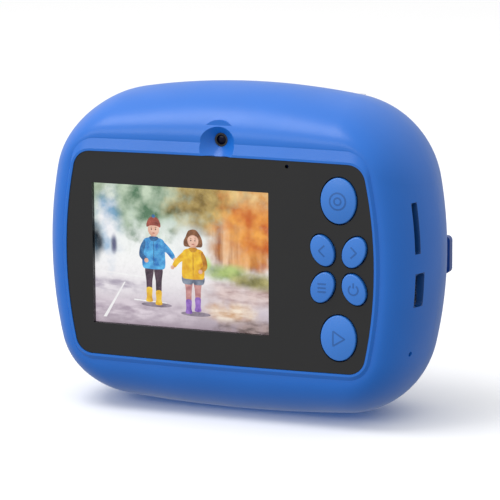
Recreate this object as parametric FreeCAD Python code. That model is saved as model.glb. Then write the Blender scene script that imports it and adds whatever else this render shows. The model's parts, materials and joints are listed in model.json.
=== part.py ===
import FreeCAD, Part
import math
import os

from FreeCAD import Vector

# Kids instant-print camera, in millimetres.
# Everything is laid out from the centre of the black face plate on the back:
# X to the right as seen from behind, Y from the rear plane towards the front, Z up.
# save() then moves each piece into the part's own frame: the origin is on the flat foot,
# below the body's widest section.

# Body envelope
HALF_WIDTH = 52.6
TOP_RISE = 43.45
BOTTOM_DROP = 42.25
REAR_DEPTH = 21.65
FRONT_DEPTH = 21.2
DOME_START = 0.8
DOME_POWER = 1.88
FOOT_FLAT = 0.6
WALL = 2.0
FRONT_WALL = 4.8
REAR_WALL_Y = 3.0
PARTING_Y = 36.0
SEAM_WIDTH = 0.3
SEAM_DEPTH = 0.45
FRONT_Y = REAR_DEPTH + FRONT_DEPTH
SECTION_COUNT = 7
FAR = 60.0

# Face plate and screen
PLATE_HALF_WIDTH = 42.25
PLATE_HALF_HEIGHT = 26.75
PLATE_SIDE_RADIUS = 110.0
PLATE_LONG_RADIUS = 2400.0
PLATE_CORNER = 4.6
PLATE_RECESS = 1.4
PLATE_SUNK = 0.2
PLATE_FIT = 0.1
WINDOW_FIT = 0.03
RIM_EDGE = 0.7
SCREEN_X = -10.4
SCREEN_HALF_WIDTH = 24.48
SCREEN_HALF_HEIGHT = 18.36
LCD_HALF_WIDTH = 29.5
LCD_HALF_HEIGHT = 20.6
LCD_THICK = 2.6
LCD_FACE_Y = 1.5

# Buttons: centre x, centre z, half width, half height, lean from upright in degrees
BUTTONS = {
    "shutter_button": (33.0, 17.4, 4.7, 5.8, 0.0),
    "playback_button": (33.0, -17.4, 4.7, 5.8, 0.0),
    "left_button": (28.8, 4.7, 2.95, 4.1, -25.0),
    "right_button": (37.2, 4.7, 2.95, 4.1, 25.0),
    "menu_button": (28.8, -4.7, 2.95, 4.1, 25.0),
    "power_button": (37.2, -4.7, 2.95, 4.1, -25.0),
}
BUTTON_PROUD = 0.9
BUTTON_GAP = 0.35
BUTTON_EDGE = 0.35
BUTTON_STEM_RADIUS = 1.2
FLANGE_THICK = 1.0
BUTTON_FLANGE = 0.6
BUTTON_CROWN_RADIUS = 22.0
BUTTON_TRAVEL = 0.5
SWITCH_SIZE = 6.0
SWITCH_HEIGHT = 1.6
PLUNGER_RADIUS = 1.65
PLUNGER_PROUD = 1.0
PLUNGER_SUNK = 0.5
RUNNING_GAP = 0.1

# Boards
BOARD_SCREWS = [(-38.5, 18.5), (-38.5, -18.5), (18.3, 18.5), (18.3, -18.5)]
BOARD_SCREW_RADIUS = 0.75
BOARD_THICK = 1.2
MAIN_BOARD_Y = 7.4
KEY_BOARD_Y = 7.6
KEY_BOARD_BACK = KEY_BOARD_Y + BOARD_THICK

# Right-hand sockets, behind the key board
CARD_Y = 9.4
CARD_Z = 10.0
CARD_THICK = 1.0
CARD_WIDTH = 11.0
CARD_LENGTH = 15.0
CARD_OUTER_X = 48.9
CARD_PLAY = 0.15
CARD_SLOT_HALF_GAP = 1.05
CARD_SLOT_HALF_LENGTH = 6.45
USB_Y = 10.3
USB_Z = -5.75
USB_HALF_THICK = 1.5
USB_HALF_WIDTH = 3.95
USB_SHEET = 0.3
RESET_Y = 10.2
RESET_Z = -22.3
RESET_RADIUS = 0.65

# Rear lens and microphone
REAR_LENS_Z = 30.7
SCOOP_FLOOR_Y = 3.4
SCOOP_FLOOR_RADIUS = 1.8
SCOOP_SLOPE = 1.1
MIC_X = 19.1
MIC_Z = 25.3
MIC_HOLE_RADIUS = 0.5

# Speaker
SPEAKER_X = 18.0
SPEAKER_Y = 22.0
SPEAKER_RADIUS = 8.5
SPEAKER_FLOOR = -37.0
SPEAKER_HOLE_RADIUS = 0.7
SPEAKER_HOLE_PITCH = 3.0

# Paper roll
ROLL_Y = 25.3
ROLL_Z = -17.0
ROLL_RADIUS = 12.7
ROLL_HALF_LENGTH = 28.5
CORE_RADIUS = 6.0
CORE_BORE = 5.0

# Printer
CHEEK_IN = 29.5
CHEEK_OUT = 31.5
PLATEN_Y = 28.7
PLATEN_Z = 29.0
PLATEN_RADIUS = 3.5
PLATEN_HALF_LENGTH = 26.5
PLATEN_SHAFT_RADIUS = 1.5
SHAFT_CLEARANCE = 0.05
MOTOR_Y = 19.0
MOTOR_Z = 26.5
MOTOR_RADIUS = 5.8
MOTOR_LENGTH = 12.0
MOTOR_SHAFT_RADIUS = 0.75
IDLER_PIN_RADIUS = 1.0
GEAR_MODULE = 0.5
PINION_TEETH = 12
IDLER_TEETH = 24
PLATEN_TEETH = 20
GEAR_X = 32.2
GEAR_WIDTH = 3.0
BACKLASH = 0.05
SLOT_Y = 32.5
SLOT_HALF_LENGTH = 29.2
SLOT_GAP = 2.6

# Front face, door and lens
FRONT_HALF_WIDTH = 40.4
FRONT_HALF_HEIGHT = 31.3
FRONT_CORNER = 17.7
DOOR_INSET = 3.0
DOOR_THICK = 2.2
DOOR_GAP = 0.35
DOOR_SEAT = 0.2
LIP_WIDTH = 2.0
HINGE_X = -38.2
HINGE_Y = FRONT_Y - 1.9
KNUCKLE_RADIUS = 1.7
HINGE_PIN_RADIUS = 0.75
DOOR_KNUCKLE_HALF = 12.0
LUG_START = 12.3
LUG_END = 16.0
GROOVE_HALF = 20.5
GROOVE_SIDE = 2.5
SWING_ROOM_HALF = 23.8
SWING_ROOM_IN = 1.2
SWING_ROOM_OUT = 5.6
HINGE_PLAY = 0.3
GROOVE_FLOOR_Y = HINGE_Y - KNUCKLE_RADIUS - 0.2
TAB_Z = -2.45
TAB_HALF_HEIGHT = 4.95
TAB_IN_X = 31.0
TAB_OUT_X = 48.2
TAB_Y = FRONT_Y - 0.95
TAB_THICK = 2.8
LENS_RING_RADIUS = 20.0
LENS_RING_BORE = 13.0
LENS_RING_HEIGHT = 3.4
LENS_RING_EDGE = 1.3
DISC_FIT = 0.05
LENS_WINDOW_Y = FRONT_Y + 0.7
LENS_WINDOW_THICK = 1.2
DOOR_HOLE_RADIUS = 7.0

# Screws
UPPER_BOSS = (40.6, 24.6)
LOWER_BOSS = (36.0, -28.5)
BOSS_RADIUS = 3.0
BOSS_END_Y = 33.0
HEAD_SEAT_Y = 34.4
HEAD_WELL_RADIUS = 2.4
CASING_SCREW_RADIUS = 0.85
CASING_HEAD_RADIUS = 2.1
CASING_HEAD_HEIGHT = 1.6
FRAME_POST = (12.0, 31.0)
LOW_POST = (24.0, -30.0)
FRAME_BACK_Y = 11.5
FRAME_STRIP = 1.5
FRAME_FRONT_Y = 34.9
BRACKET_FRONT_Y = 36.1
FRAME_SCREW_RADIUS = 0.75
POST_RADIUS = 2.5
BRACKET_SCREW_PLACE = (30.5, 16.0)
BRACKET_SCREW_RADIUS = 0.65
THREAD_PLAY = 0.05


# ---------------------------------------------------------------- small helpers

def save(name, shape):
    """Moves a finished piece into the part's frame and writes its file."""
    placed = shape.copy()
    placed.translate(Vector(0, -REAR_DEPTH, BOTTOM_DROP - FOOT_FLAT))
    placed.exportStep("parts/" + name + ".step")
    print(name, len(placed.Solids), round(placed.Volume, 1), placed.isValid())


def block(x0, x1, y0, y1, z0, z1):
    return Part.makeBox(x1 - x0, y1 - y0, z1 - z0, Vector(x0, y0, z0))


def rod_y(x, z, radius, y0, y1):
    """A round bar along Y."""
    return Part.makeCylinder(radius, y1 - y0, Vector(x, y0, z), Vector(0, 1, 0))


def rod_x(y, z, radius, x0, x1):
    """A round bar along X."""
    return Part.makeCylinder(radius, x1 - x0, Vector(x0, y, z), Vector(1, 0, 0))


def rod_z(x, y, radius, z0, z1):
    """A round bar along Z."""
    return Part.makeCylinder(radius, z1 - z0, Vector(x, y, z0), Vector(0, 0, 1))


def rounded_block(x0, x1, y0, y1, z0, z1, radius, axis):
    """A block whose four edges along the axis are rounded."""
    solid = block(x0, x1, y0, y1, z0, z1)
    edges = []
    for edge in solid.Edges:
        direction = edge.Vertexes[1].Point - edge.Vertexes[0].Point
        if abs(direction.normalize().dot(axis)) > 0.9:
            edges.append(edge)
    return solid.makeFillet(radius, edges)


def fuse(first, *others):
    return first.fuse(list(others)).removeSplitter()


def mirrored(places):
    """The same places left and right of the middle."""
    return [(side * x, z) for x, z in places for side in (-1, 1)]


# ---------------------------------------------------------------- outlines of the body

class Outline:
    """A rounded oblong made of eight tangent arcs: two sides, a top, a bottom, four corners."""

    def __init__(self, width, top, bottom, side, top_r, bottom_r, top_corner, bottom_corner, side_z=0.0):
        self.width = width
        self.top = top
        self.bottom = bottom
        self.side = side
        self.top_r = top_r
        self.bottom_r = bottom_r
        self.top_corner = top_corner
        self.bottom_corner = bottom_corner
        self.side_z = side_z

    def grown(self, amount):
        """The outline moved outwards everywhere by one distance."""
        return Outline(
            self.width + amount, self.top + amount, self.bottom + amount,
            self.side + amount, self.top_r + amount, self.bottom_r + amount,
            self.top_corner + amount, self.bottom_corner + amount, self.side_z,
        )

    def towards(self, other, share):
        """An outline part of the way to another. Long arcs are mixed by their curvature."""
        def mix(a, b):
            return a + (b - a) * share

        def bend(a, b):
            return 1.0 / mix(1.0 / a, 1.0 / b)

        return Outline(
            mix(self.width, other.width), mix(self.top, other.top), mix(self.bottom, other.bottom),
            bend(self.side, other.side), bend(self.top_r, other.top_r),
            bend(self.bottom_r, other.bottom_r), mix(self.top_corner, other.top_corner),
            mix(self.bottom_corner, other.bottom_corner), mix(self.side_z, other.side_z),
        )

    def corner(self, up):
        """The centre of a right-hand corner arc, and where it leaves the side and the long arc."""
        radius = self.top_corner if up > 0 else self.bottom_corner
        long_r = self.top_r if up > 0 else self.bottom_r
        height = self.top if up > 0 else self.bottom
        side_centre = Vector(self.width - self.side, 0, self.side_z)
        long_centre = Vector(0, 0, up * (height - long_r))
        from_side = self.side - radius
        from_long = long_r - radius
        gap = long_centre - side_centre
        distance = gap.Length
        along = (from_side ** 2 - from_long ** 2 + distance ** 2) / (2 * distance)
        across = math.sqrt(from_side ** 2 - along ** 2)
        unit = gap * (1 / distance)
        normal = Vector(unit.z, 0, -unit.x)
        first = side_centre + unit * along + normal * across
        second = side_centre + unit * along - normal * across
        centre = first if first.x > second.x else second
        on_side = side_centre + (centre - side_centre).normalize() * self.side
        on_long = long_centre + (centre - long_centre).normalize() * long_r
        away = ((on_side - centre) + (on_long - centre)).normalize()
        return on_side, centre + away * radius, on_long

    def wire(self, y):
        """The closed outline in the plane at depth y."""
        def flip(point):
            return Vector(-point.x, 0, point.z)

        up_side, up_mid, up_long = self.corner(1)
        low_side, low_mid, low_long = self.corner(-1)
        right = Vector(self.width, 0, self.side_z)
        corners = [
            (low_side, right, up_side),
            (up_side, up_mid, up_long),
            (up_long, Vector(0, 0, self.top), flip(up_long)),
            (flip(up_long), flip(up_mid), flip(up_side)),
            (flip(up_side), flip(right), flip(low_side)),
            (flip(low_side), flip(low_mid), flip(low_long)),
            (flip(low_long), Vector(0, 0, -self.bottom), low_long),
            (low_long, low_mid, low_side),
        ]
        shift = Vector(0, y, 0)
        edges = [Part.Arc(a + shift, b + shift, c + shift).toShape() for a, b, c in corners]
        return Part.Wire(edges)

    def slab(self, y0, y1):
        """A straight-sided plate of this outline."""
        return Part.Face(self.wire(y0)).extrude(Vector(0, y1 - y0, 0))


PLATE = Outline(
    PLATE_HALF_WIDTH, PLATE_HALF_HEIGHT, PLATE_HALF_HEIGHT, PLATE_SIDE_RADIUS,
    PLATE_LONG_RADIUS, PLATE_LONG_RADIUS, PLATE_CORNER, PLATE_CORNER,
)
REAR_RING = Outline(43.85, 30.65, 28.85, PLATE_SIDE_RADIUS, 1200.0, PLATE_LONG_RADIUS, 8.0, 7.0)
WIDEST = Outline(HALF_WIDTH, TOP_RISE, BOTTOM_DROP, 106.0, 182.5, 349.4, 25.8, 22.0, 0.7)
FRONT_RING = Outline(
    FRONT_HALF_WIDTH, FRONT_HALF_HEIGHT + 0.6, FRONT_HALF_HEIGHT - 0.6, PLATE_SIDE_RADIUS,
    400.0, 600.0, FRONT_CORNER, FRONT_CORNER, 0.35,
)
DOOR_OUTLINE = FRONT_RING.grown(-DOOR_INSET)


def dome(end_ring, widest, middle_y, end_y):
    """Sections from an end ring to the widest outline, along a rounded profile."""
    sections = []
    for step in range(SECTION_COUNT + 1):
        angle = math.pi / 2 * step / SECTION_COUNT
        spread = math.sin(angle) ** (2 / DOME_POWER)
        reach = math.cos(angle) ** (2 / DOME_POWER) if step < SECTION_COUNT else 0.0
        sections.append(end_ring.towards(widest, spread).wire(middle_y + (end_y - middle_y) * reach))
    return sections


def pillow(widest, rear_y, front_y):
    """The rounded solid of the body between two flat ends."""
    rear = Part.makeLoft(dome(REAR_RING, widest, REAR_DEPTH, rear_y), True, False)
    front = Part.makeLoft(dome(FRONT_RING, widest, REAR_DEPTH, front_y), True, False)
    return rear, front


OUTER_REAR, OUTER_FRONT = pillow(WIDEST, DOME_START, FRONT_Y)
INNER_REAR, INNER_FRONT = pillow(WIDEST.grown(-WALL), REAR_WALL_Y, FRONT_Y - FRONT_WALL)
OUTER = OUTER_REAR.fuse(OUTER_FRONT)
INNER = INNER_REAR.fuse(INNER_FRONT)


def outline_at(y):
    """The body's outline at a depth in front of its widest section."""
    reach = (y - REAR_DEPTH) / FRONT_DEPTH
    spread = (1 - reach ** DOME_POWER) ** (1 / DOME_POWER)
    return FRONT_RING.towards(WIDEST, spread)


BEHIND_PARTING = block(-FAR, FAR, -FAR, PARTING_Y, -FAR, FAR)
BEFORE_PARTING = block(-FAR, FAR, PARTING_Y, FAR, -FAR, FAR)
BOSSES = mirrored([UPPER_BOSS, LOWER_BOSS])
POSTS = mirrored([FRAME_POST, LOW_POST])
BRACKET_SCREWS = mirrored([BRACKET_SCREW_PLACE])


def ellipse_prism(x, z, half_width, half_height, lean, y0, y1):
    """An upright oval bar along Y, leaning by an angle about its own centre."""
    ellipse = Part.Ellipse(Vector(0, 0, 0), half_height, half_width)
    face = Part.Face(Part.Wire(ellipse.toShape()))
    face.rotate(Vector(0, 0, 0), Vector(1, 0, 0), 90)
    face.rotate(Vector(0, 0, 0), Vector(0, 1, 0), -90 + lean)
    face.translate(Vector(x, y0, z))
    return face.extrude(Vector(0, y1 - y0, 0))


# ---------------------------------------------------------------- casing

def button_holes(y0, y1):
    """Ovals that clear every key."""
    return [
        ellipse_prism(x, z, half_width + BUTTON_GAP, half_height + BUTTON_GAP, lean, y0, y1)
        for x, z, half_width, half_height, lean in BUTTONS.values()
    ]


def speaker_holes():
    """A cross of small holes through the underside."""
    steps = [(0, 0), (1, 0), (-1, 0), (0, 1), (0, -1)]
    holes = []
    for across, along in steps:
        x = SPEAKER_X + across * SPEAKER_HOLE_PITCH
        y = SPEAKER_Y + along * SPEAKER_HOLE_PITCH
        holes.append(rod_z(x, y, SPEAKER_HOLE_RADIUS, -FAR, SPEAKER_FLOOR))
    return holes


def side_sockets():
    """The card slot, the USB opening and the reset hole in the right-hand side."""
    along = Vector(1, 0, 0)
    inside = 44.0
    return [
        rounded_block(
            inside, FAR, CARD_Y - CARD_SLOT_HALF_GAP, CARD_Y + CARD_SLOT_HALF_GAP,
            CARD_Z - CARD_SLOT_HALF_LENGTH, CARD_Z + CARD_SLOT_HALF_LENGTH, 0.7, along,
        ),
        rounded_block(
            inside, FAR, USB_Y - USB_HALF_THICK - 0.3, USB_Y + USB_HALF_THICK + 0.3,
            USB_Z - USB_HALF_WIDTH - 0.3, USB_Z + USB_HALF_WIDTH + 0.3, 1.2, along,
        ),
        rod_x(RESET_Y, RESET_Z, RESET_RADIUS, inside, FAR),
    ]


def lens_scoop():
    """A round scoop that leads down to the rear lens."""
    above = 1.0
    depth = SCOOP_FLOOR_Y + above
    cone = Part.makeCone(
        SCOOP_FLOOR_RADIUS + SCOOP_SLOPE * depth, SCOOP_FLOOR_RADIUS, depth,
        Vector(0, -above, REAR_LENS_Z), Vector(0, 1, 0),
    )
    return cone.fuse(rod_y(0, REAR_LENS_Z, SCOOP_FLOOR_RADIUS, 0, 8))


def screw_posts():
    """Bosses for the casing screws, posts for the frame screws, and seats for lens and speaker."""
    posts = []
    for x, z in BOSSES:
        posts.append(rod_y(x, z, BOSS_RADIUS, WALL, BOSS_END_Y).common(OUTER))
    for x, z in POSTS:
        posts.append(rod_y(x, z, POST_RADIUS, WALL, FRAME_BACK_Y))
    posts.append(rod_y(0, REAR_LENS_Z, 5.2, WALL, 4.6))
    ring = rod_z(SPEAKER_X, SPEAKER_Y, SPEAKER_RADIUS, -FAR, SPEAKER_FLOOR)
    ring = ring.cut(rod_z(SPEAKER_X, SPEAKER_Y, SPEAKER_RADIUS - 1.2, -FAR, SPEAKER_FLOOR))
    posts.append(ring.common(OUTER))
    return posts


def make_rear_shell():
    rim_top = PLATE.grown(RIM_EDGE)
    rim_foot = Outline(
        PLATE_HALF_WIDTH + 1.5, REAR_RING.top - 0.1, PLATE_HALF_HEIGHT + 2.0, PLATE_SIDE_RADIUS,
        PLATE_LONG_RADIUS, PLATE_LONG_RADIUS, 7.0, 6.4,
    )
    rim = Part.makeLoft([rim_top.wire(0), rim_foot.wire(DOME_START + 0.15)], True, True)
    shell = OUTER.common(BEHIND_PARTING).cut(INNER)
    shell = shell.fuse([rim] + screw_posts())
    cuts = [PLATE.grown(PLATE_FIT).slab(-1, PLATE_RECESS), lens_scoop()]
    cuts.append(block(
        SCREEN_X - SCREEN_HALF_WIDTH - 0.5, SCREEN_X + SCREEN_HALF_WIDTH + 0.5, 0, 8,
        -SCREEN_HALF_HEIGHT - 0.5, SCREEN_HALF_HEIGHT + 0.5,
    ))
    cuts.extend(button_holes(-1, 4))
    cuts.append(rod_y(MIC_X, MIC_Z, MIC_HOLE_RADIUS + 0.1, 0, 4))
    cuts.extend(side_sockets())
    cuts.append(rounded_block(
        -SLOT_HALF_LENGTH, SLOT_HALF_LENGTH, SLOT_Y - SLOT_GAP / 2, SLOT_Y + SLOT_GAP / 2,
        34, 50, 1.0, Vector(0, 0, 1),
    ))
    for x, z in BOSSES:
        cuts.append(rod_y(x, z, CASING_SCREW_RADIUS + THREAD_PLAY, BOSS_END_Y - 12, BOSS_END_Y))
        cuts.append(rod_y(x, z, HEAD_WELL_RADIUS, HEAD_SEAT_Y, FAR))
    for x, z in POSTS:
        cuts.append(rod_y(x, z, FRAME_SCREW_RADIUS + THREAD_PLAY, FRAME_BACK_Y - 6, FRAME_BACK_Y))
    cuts.extend(speaker_holes())
    cuts.append(block(-FAR, FAR, -FAR, FAR, -FAR, -BOTTOM_DROP + FOOT_FLAT))
    return shell.cut(cuts)


def make_front_shell():
    shell = OUTER.common(BEFORE_PARTING).cut(INNER)
    additions = []
    for x, z in BOSSES:
        inside = rod_y(x, z, BOSS_RADIUS + 0.4, BOSS_END_Y, PARTING_Y).common(INNER)
        outside = rod_y(x, z, BOSS_RADIUS + 0.4, PARTING_Y, FAR).common(OUTER)
        additions.extend([inside, outside])
    shell = shell.fuse(additions)
    recess_floor = FRONT_Y - DOOR_THICK - DOOR_SEAT
    cuts = [
        DOOR_OUTLINE.grown(DOOR_GAP).slab(recess_floor, FAR),
        DOOR_OUTLINE.grown(-LIP_WIDTH).slab(30, FAR),
        block(
            HINGE_X - GROOVE_SIDE, HINGE_X + GROOVE_SIDE, recess_floor, FAR, -GROOVE_HALF, GROOVE_HALF,
        ),
        block(
            HINGE_X - GROOVE_SIDE, HINGE_X + GROOVE_SIDE, GROOVE_FLOOR_Y, FAR,
            -LUG_END - HINGE_PLAY, LUG_END + HINGE_PLAY,
        ),
        block(
            HINGE_X + SWING_ROOM_IN, HINGE_X + SWING_ROOM_OUT, recess_floor, FAR,
            -SWING_ROOM_HALF, SWING_ROOM_HALF,
        ),
        block(
            DOOR_OUTLINE.width - 1, TAB_OUT_X, TAB_Y - 0.25, FAR,
            TAB_Z - TAB_HALF_HEIGHT - 0.3, TAB_Z + TAB_HALF_HEIGHT + 0.3,
        ),
    ]
    for x, z in BOSSES:
        cuts.append(rod_y(x, z, CASING_SCREW_RADIUS + 0.25, 30, FAR))
        cuts.append(rod_y(x, z, HEAD_WELL_RADIUS, HEAD_SEAT_Y, FAR))
    seam_core = outline_at(PARTING_Y).grown(-SEAM_DEPTH).slab(PARTING_Y, PARTING_Y + SEAM_WIDTH)
    cuts.append(block(-FAR, FAR, PARTING_Y, PARTING_Y + SEAM_WIDTH, -FAR, FAR).cut(seam_core))
    shell = shell.cut(cuts)
    for side in (-1, 1):
        z0 = LUG_START if side > 0 else -LUG_END
        z1 = LUG_END if side > 0 else -LUG_START
        lug = rod_z(HINGE_X, HINGE_Y, KNUCKLE_RADIUS, z0, z1)
        web = block(HINGE_X - 3.2, HINGE_X, HINGE_Y - KNUCKLE_RADIUS, HINGE_Y + 1.0, z0, z1)
        shell = shell.fuse([lug, web])
    return shell.cut(rod_z(HINGE_X, HINGE_Y, HINGE_PIN_RADIUS, -LUG_END, LUG_END))


def make_face_plate():
    plate = PLATE.slab(PLATE_SUNK, PLATE_RECESS)
    cuts = [block(
        SCREEN_X - SCREEN_HALF_WIDTH, SCREEN_X + SCREEN_HALF_WIDTH, -1, 4,
        -SCREEN_HALF_HEIGHT, SCREEN_HALF_HEIGHT,
    )]
    cuts.extend(button_holes(-1, 4))
    cuts.append(rod_y(MIC_X, MIC_Z, MIC_HOLE_RADIUS, -1, 4))
    return plate.cut(cuts)


def make_screen_window():
    half_width = SCREEN_HALF_WIDTH - WINDOW_FIT
    half_height = SCREEN_HALF_HEIGHT - WINDOW_FIT
    return block(
        SCREEN_X - half_width, SCREEN_X + half_width, PLATE_SUNK, PLATE_RECESS, -half_height, half_height,
    )


def make_casing_screws():
    """Four screws with a cross recess in their heads."""
    reach = 1.2
    slot = 0.3
    recess_y = HEAD_SEAT_Y + CASING_HEAD_HEIGHT - 0.7
    screws = []
    for x, z in BOSSES:
        shank = rod_y(x, z, CASING_SCREW_RADIUS, BOSS_END_Y - 9, HEAD_SEAT_Y)
        head = rod_y(x, z, CASING_HEAD_RADIUS, HEAD_SEAT_Y, HEAD_SEAT_Y + CASING_HEAD_HEIGHT)
        cross = fuse(
            block(x - reach, x + reach, recess_y, FAR, z - slot, z + slot),
            block(x - slot, x + slot, recess_y, FAR, z - reach, z + reach),
        )
        screws.append(shank.fuse(head).cut(cross))
    return Part.makeCompound(screws)


# ---------------------------------------------------------------- display and keys

def make_lcd_display():
    """The display module, and its glass that fills the opening behind the window."""
    module_y = REAR_WALL_Y + 0.05
    module = block(
        SCREEN_X - LCD_HALF_WIDTH, SCREEN_X + LCD_HALF_WIDTH, module_y, module_y + LCD_THICK,
        -LCD_HALF_HEIGHT, LCD_HALF_HEIGHT,
    )
    glass = block(
        SCREEN_X - SCREEN_HALF_WIDTH - 0.2, SCREEN_X + SCREEN_HALF_WIDTH + 0.2, LCD_FACE_Y, module_y,
        -SCREEN_HALF_HEIGHT - 0.2, SCREEN_HALF_HEIGHT + 0.2,
    )
    return fuse(module, glass)


def make_display_flex():
    """The ribbon that folds from the display's left edge to the main board."""
    left = SCREEN_X - LCD_HALF_WIDTH
    display_back = REAR_WALL_Y + 0.05 + LCD_THICK
    return fuse(
        block(left, left + 8, display_back, display_back + 0.3, -7, 7),
        block(left - 0.9, left, display_back, MAIN_BOARD_Y, -7, 7),
        block(left - 0.9, left + 6, MAIN_BOARD_Y - 0.3, MAIN_BOARD_Y, -7, 7),
    )


def make_button(x, z, half_width, half_height, lean):
    """A domed cap, a flange that keeps it behind the casing, and a stem to the switch."""
    cap_back = REAR_WALL_Y + 0.1
    cap = ellipse_prism(x, z, half_width, half_height, lean, -BUTTON_PROUD - 1, cap_back)
    crown = Part.makeSphere(BUTTON_CROWN_RADIUS, Vector(x, BUTTON_CROWN_RADIUS - BUTTON_PROUD, z))
    cap = cap.common(crown)
    rims = [edge for edge in cap.Edges if edge.BoundBox.YMax < 0.5 and edge.Length > 5]
    cap = cap.makeFillet(BUTTON_EDGE, rims)
    flange_back = cap_back + FLANGE_THICK
    flange = ellipse_prism(
        x, z, half_width + BUTTON_FLANGE, half_height + BUTTON_FLANGE, lean, cap_back, flange_back,
    )
    plunger_top = KEY_BOARD_Y - SWITCH_HEIGHT - PLUNGER_PROUD
    stem = rod_y(x, z, BUTTON_STEM_RADIUS, flange_back, plunger_top)
    return fuse(cap, flange, stem)


def make_plunger(x, z):
    case_top = KEY_BOARD_Y - SWITCH_HEIGHT
    return rod_y(x, z, PLUNGER_RADIUS, case_top - PLUNGER_PROUD, case_top + PLUNGER_SUNK)


def make_tact_switches():
    cases = []
    half = SWITCH_SIZE / 2
    case_top = KEY_BOARD_Y - SWITCH_HEIGHT
    for x, z, _, _, _ in BUTTONS.values():
        case = block(x - half, x + half, case_top, KEY_BOARD_Y, z - half, z + half)
        well_floor = case_top + PLUNGER_SUNK + BUTTON_TRAVEL + 0.2
        well = rod_y(x, z, PLUNGER_RADIUS + RUNNING_GAP, case_top - 1, well_floor)
        cases.append(case.cut(well))
    return Part.makeCompound(cases)


def make_key_board():
    return block(21.5, 45.0, KEY_BOARD_Y, KEY_BOARD_BACK, -24.8, 20.6)


def make_main_board():
    board = block(-41.0, 20.8, MAIN_BOARD_Y, MAIN_BOARD_Y + BOARD_THICK, -21.0, 21.0)
    return board.cut([rod_y(x, z, BOARD_SCREW_RADIUS + THREAD_PLAY, 0, 20) for x, z in BOARD_SCREWS])


def make_board_screws():
    """Screws that hold the main board to the display's metal frame."""
    screws = []
    board_back = MAIN_BOARD_Y + BOARD_THICK
    for x, z in BOARD_SCREWS:
        shank = rod_y(x, z, BOARD_SCREW_RADIUS, REAR_WALL_Y + LCD_THICK + 0.1, board_back)
        head = rod_y(x, z, 2 * BOARD_SCREW_RADIUS, board_back, board_back + 0.9)
        screws.append(shank.fuse(head))
    return Part.makeCompound(screws)


def make_board_components():
    """Processor, memory, crystal, power chip and connectors: x, z, width, height, thickness."""
    back = MAIN_BOARD_Y + BOARD_THICK
    chips = [
        (-12, 2, 12, 12, 1.2), (4, 6, 8, 6, 1.0), (4, -5, 5, 5, 0.9), (-27, 8, 7, 5, 1.4),
        (-27, -6, 6, 3, 1.0), (-12, -14, 16, 3, 1.6), (12, -14, 5, 4, 1.3), (12, 15, 4, 3, 1.2),
    ]
    return Part.makeCompound([
        block(x - w / 2, x + w / 2, back, back + t, z - h / 2, z + h / 2) for x, z, w, h, t in chips
    ])


# ---------------------------------------------------------------- sockets

def make_card_reader():
    """A cage around the card. The key board closes its rear side."""
    body = block(33.0, 46.6, KEY_BOARD_BACK, CARD_Y + 1.0, CARD_Z - 7, CARD_Z + 7)
    half_width = CARD_WIDTH / 2 + CARD_PLAY
    return body.cut(block(
        CARD_OUTER_X - CARD_LENGTH - CARD_PLAY, FAR, 0, CARD_Y + CARD_THICK / 2 + CARD_PLAY,
        CARD_Z - half_width, CARD_Z + half_width,
    ))


def make_memory_card():
    card = block(
        CARD_OUTER_X - CARD_LENGTH, CARD_OUTER_X, CARD_Y - CARD_THICK / 2, CARD_Y + CARD_THICK / 2,
        CARD_Z - CARD_WIDTH / 2, CARD_Z + CARD_WIDTH / 2,
    )
    notch = block(
        CARD_OUTER_X - CARD_LENGTH - 1, CARD_OUTER_X - 8.5, CARD_Y - 1, CARD_Y + 1,
        CARD_Z + CARD_WIDTH / 2 - 1.3, CARD_Z + 10,
    )
    return card.cut(notch)


def make_usb_socket():
    """A sheet-metal shroud around a flat tongue."""
    inner = 41.5
    outer = 49.4
    along = Vector(1, 0, 0)
    thick = USB_HALF_THICK
    width = USB_HALF_WIDTH
    body = rounded_block(
        inner, outer, USB_Y - thick, USB_Y + thick, USB_Z - width, USB_Z + width, 0.9, along,
    )
    thick -= USB_SHEET
    width -= USB_SHEET
    mouth = rounded_block(
        inner + 1.5, FAR, USB_Y - thick, USB_Y + thick, USB_Z - width, USB_Z + width, 0.7, along,
    )
    tongue = block(inner + 1, outer - 1, USB_Y - 0.3, USB_Y + 0.3, USB_Z - 2.4, USB_Z + 2.4)
    return fuse(body.cut(mouth), tongue)


def make_reset_switch():
    body = block(41.0, 44.9, KEY_BOARD_BACK, RESET_Y + 1.4, RESET_Z - 2.2, RESET_Z + 2.2)
    return body.fuse(rod_x(RESET_Y, RESET_Z, RESET_RADIUS - 0.05, 44.9, 45.6))


# ---------------------------------------------------------------- cameras, sound, power

def make_rear_camera():
    barrel = rod_y(0, REAR_LENS_Z, 1.7, SCOOP_FLOOR_Y + 0.1, 5.0)
    body = block(-3.4, 3.4, 5.0, 8.6, REAR_LENS_Z - 3.4, REAR_LENS_Z + 3.4)
    return fuse(barrel, body).cut(rod_y(0, REAR_LENS_Z, 1.3, 3.0, 4.3))


def make_rear_lens():
    glass = rod_y(0, REAR_LENS_Z, 1.25, 3.6, 4.3)
    return glass.common(Part.makeSphere(2.4, Vector(0, 3.65 + 2.4, REAR_LENS_Z)))


def make_microphone():
    return rod_y(MIC_X, MIC_Z, 2.0, REAR_WALL_Y, REAR_WALL_Y + 1.6)


def make_speaker():
    frame = rod_z(SPEAKER_X, SPEAKER_Y, SPEAKER_RADIUS, SPEAKER_FLOOR, SPEAKER_FLOOR + 2.2)
    magnet = rod_z(SPEAKER_X, SPEAKER_Y, 5.2, SPEAKER_FLOOR + 2.2, SPEAKER_FLOOR + 3.8)
    return fuse(frame, magnet)


def make_battery():
    return rounded_block(-43.6, -36.6, 13, 33, -16, 20, 1.5, Vector(0, 0, 1))


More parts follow.
